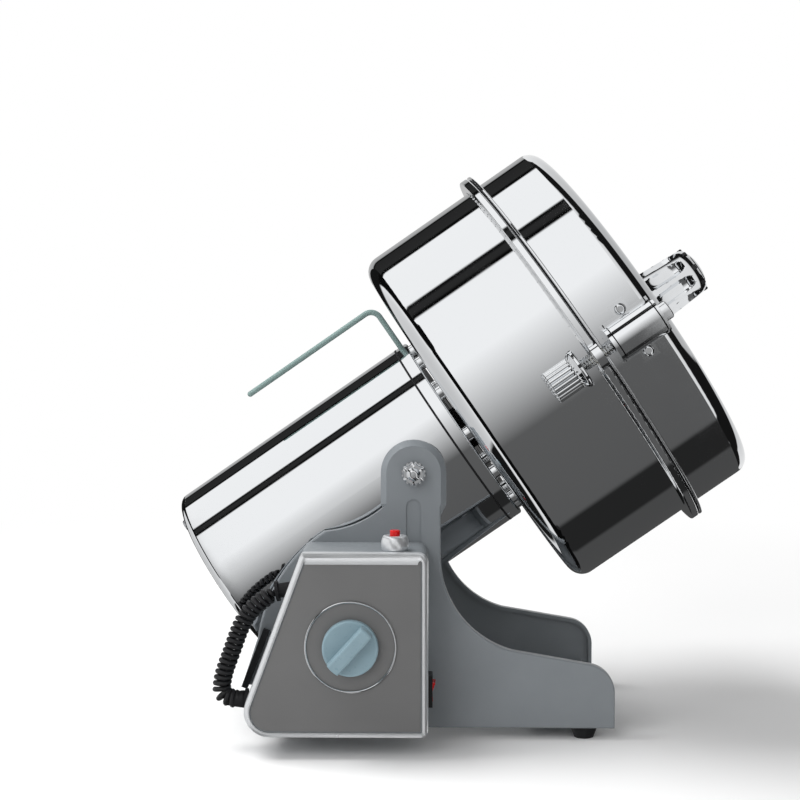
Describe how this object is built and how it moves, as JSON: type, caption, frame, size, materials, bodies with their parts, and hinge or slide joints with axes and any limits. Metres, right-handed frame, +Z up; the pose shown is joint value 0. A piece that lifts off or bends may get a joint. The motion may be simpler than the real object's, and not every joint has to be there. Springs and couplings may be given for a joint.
{
  "type": "electric grain mill",
  "caption": "Swing-type electric grain mill: a polished grinding bowl and motor that tilt in a pressed-steel stand with a timer, a power switch and a coiled cord.",
  "frame": {"origin": "middle of the whole object's footprint box, on the surface that it stands on", "axes": "+X towards the lid end, +Y away from the control box, +Z up"},
  "size_m": [0.318, 0.2588, 0.317],
  "materials": {
    "stand_paint": "hammered grey enamel, satin",
    "panel_metal": "satin dark grey",
    "mirror_steel": "mirror polished stainless steel",
    "lid_knob_chrome": "polished",
    "clamp_metal": "bright plated",
    "fastener_steel": "zinc plated",
    "blade_steel": "ground",
    "rod_enamel": "grey-green enamel",
    "rubber_black": "matt",
    "seal_rubber": "soft black",
    "nylon": "moulded",
    "black_plastic": "moulded",
    "knob_plastic": "satin grey-blue",
    "red_plastic": "glossy",
    "stack_iron": "laminated",
    "cast_alloy": "as cast",
    "copper": "enamelled copper",
    "carbon": "sintered graphite"
  },
  "bodies": {
    "base": {"side_plate_near": "stand_paint", "side_plate_far": "stand_paint", "front_brace": "stand_paint", "rear_brace": "stand_paint", "rubber_feet": "rubber_black", "foot_screws": "fastener_steel", "pivot_bushes": "nylon", "pivot_washers": "fastener_steel", "control_box": "stand_paint", "control_panel": "panel_metal", "timer_body": "black_plastic", "breaker_body": "black_plastic", "breaker_nut": "fastener_steel", "rocker_housing": "black_plastic", "terminal_block": "nylon", "box_screws": "fastener_steel", "edge_guard": "rubber_black", "cord_glands": "rubber_black", "mains_gland": "rubber_black", "curly_cord": "rubber_black"},
    "mill": {"motor_shell": "mirror_steel", "end_bell": "mirror_steel", "rear_cover": "mirror_steel", "cover_screws": "fastener_steel", "bearing_bracket": "cast_alloy", "shaft_bearings": "fastener_steel", "stator_core": "stack_iron", "field_windings": "copper", "brush_holders": "black_plastic", "carbon_brushes": "carbon", "pivot_bosses": "fastener_steel", "pivot_studs": "fastener_steel", "pivot_nuts": "fastener_steel", "neck_posts": "clamp_metal", "grinding_bowl": "mirror_steel", "bowl_screws": "fastener_steel", "shaft_seal": "rubber_black", "clamp_bushes": "nylon", "tilt_handle": "rod_enamel"},
    "rotor": {"motor_shaft": "fastener_steel", "armature": "stack_iron", "armature_winding": "copper", "commutator": "copper", "cooling_fan": "nylon", "lower_blade": "blade_steel", "middle_blade": "blade_steel", "upper_blade": "blade_steel", "blade_spacers": "fastener_steel", "blade_nut": "fastener_steel"},
    "lid": {"lid": "mirror_steel", "lid_seal": "seal_rubber", "lid_knob": "lid_knob_chrome", "lid_knob_screw": "fastener_steel", "clamp_housings": "clamp_metal", "saddle_screws": "fastener_steel"},
    "thumbscrew_near": {"thumbscrew_near": "clamp_metal"},
    "thumbscrew_far": {"thumbscrew_far": "clamp_metal"},
    "timer_knob": {"timer_knob": "knob_plastic"},
    "reset_button": {"reset_button": "red_plastic"},
    "rocker_switch": {"rocker_switch": "red_plastic"}
  },
  "joints": [
    {"name": "mill_tilt", "type": "hinge", "parent": "base", "child": "mill", "pos_m": [-0.02608, 0, 0.1437], "axis": [0, 1, 0], "range_deg": [-55.3, 34.7]},
    {"name": "rotor_spin", "type": "hinge", "parent": "mill", "child": "rotor", "pos_m": [-0.02608, 0, 0.1437], "axis": [0.8221, 0, 0.5693], "continuous": true},
    {"name": "lid_lift", "type": "slide", "parent": "mill", "child": "lid", "axis": [0.8221, 0, 0.5693], "range_m": [0, 0.07]},
    {"name": "clamp_screw_near", "type": "hinge", "parent": "mill", "child": "thumbscrew_near", "pos_m": [0.05121, -0.119, 0.19721], "axis": [0.8221, 0, 0.5693], "continuous": true},
    {"name": "clamp_screw_far", "type": "hinge", "parent": "mill", "child": "thumbscrew_far", "pos_m": [0.05121, 0.119, 0.19721], "axis": [0.8221, 0, 0.5693], "continuous": true},
    {"name": "timer_turn", "type": "hinge", "parent": "base", "child": "timer_knob", "pos_m": [-0.05788, -0.107, 0.0587], "axis": [0, 1, 0], "range_deg": [0, 300]},
    {"name": "reset_press", "type": "slide", "parent": "base", "child": "reset_button", "axis": [0, 0, 1], "range_m": [-0.0015, 0], "stiffness_N_per_m": 200},
    {"name": "rocker_tip", "type": "hinge", "parent": "base", "child": "rocker_switch", "pos_m": [-0.01838, -0.087, 0.0322], "axis": [0, 1, 0], "range_deg": [-16, 0]}
  ]
}
